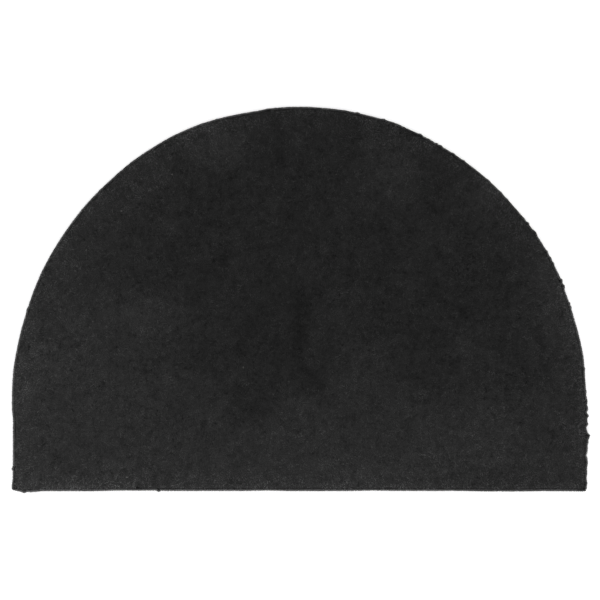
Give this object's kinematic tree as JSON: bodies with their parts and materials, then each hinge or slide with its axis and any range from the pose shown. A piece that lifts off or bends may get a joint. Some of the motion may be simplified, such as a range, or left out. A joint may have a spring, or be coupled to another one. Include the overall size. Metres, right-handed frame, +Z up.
{
  "type": "half round coir doormat",
  "caption": "Half round doormat of short black coir pile fused to a thin backing, with a cut edge that frays into small tufts; it lies flat on the floor for wiping shoes.",
  "frame": {"origin": "the middle of the mat's bounding box in plan, on its flat underside", "axes": "+Z up from the floor, +Y from the straight edge to the round edge, +X along the straight edge with the more frayed side at +X"},
  "size_m": [0.6036, 0.403, 0.015],
  "materials": {
    "black_coir": "matte short cut coir fibres, dyed black, with a few pale undyed specks"
  },
  "bodies": {
    "root": {"mat": "black_coir"}
  },
  "joints": []
}
